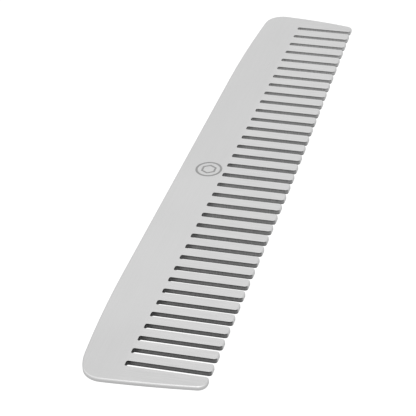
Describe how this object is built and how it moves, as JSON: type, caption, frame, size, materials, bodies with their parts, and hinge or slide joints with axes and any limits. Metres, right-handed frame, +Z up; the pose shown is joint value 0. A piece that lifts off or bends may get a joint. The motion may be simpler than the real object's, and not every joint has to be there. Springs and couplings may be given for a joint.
{
  "type": "steel grooming comb",
  "caption": "Flat one-piece stainless steel grooming comb with a plain spine and a row of wide round-tipped teeth that get longer towards one end.",
  "frame": {"origin": "middle of the outline's box, on the underside that the comb lies on", "axes": "+X along the comb towards its longest teeth, +Y across it from the back edge to the tooth tips, +Z up through the plate"},
  "size_m": [0.1804, 0.0328, 0.0013],
  "materials": {
    "satin_steel": "fine satin faces with softly rounded edges, and darker cut walls inside the slots"
  },
  "bodies": {
    "root": {"spine": "satin_steel", "tooth_01": "satin_steel", "tooth_02": "satin_steel", "tooth_03": "satin_steel", "tooth_04": "satin_steel", "tooth_05": "satin_steel", "tooth_06": "satin_steel", "tooth_07": "satin_steel", "tooth_08": "satin_steel", "tooth_09": "satin_steel", "tooth_10": "satin_steel", "tooth_11": "satin_steel", "tooth_12": "satin_steel", "tooth_13": "satin_steel", "tooth_14": "satin_steel", "tooth_15": "satin_steel", "tooth_16": "satin_steel", "tooth_17": "satin_steel", "tooth_18": "satin_steel", "tooth_19": "satin_steel", "tooth_20": "satin_steel", "tooth_21": "satin_steel", "tooth_22": "satin_steel", "tooth_23": "satin_steel", "tooth_24": "satin_steel", "tooth_25": "satin_steel", "tooth_26": "satin_steel", "tooth_27": "satin_steel", "tooth_28": "satin_steel", "tooth_29": "satin_steel", "tooth_30": "satin_steel", "tooth_31": "satin_steel", "tooth_32": "satin_steel", "tooth_33": "satin_steel", "tooth_34": "satin_steel", "tooth_35": "satin_steel", "tooth_36": "satin_steel"}
  },
  "joints": []
}
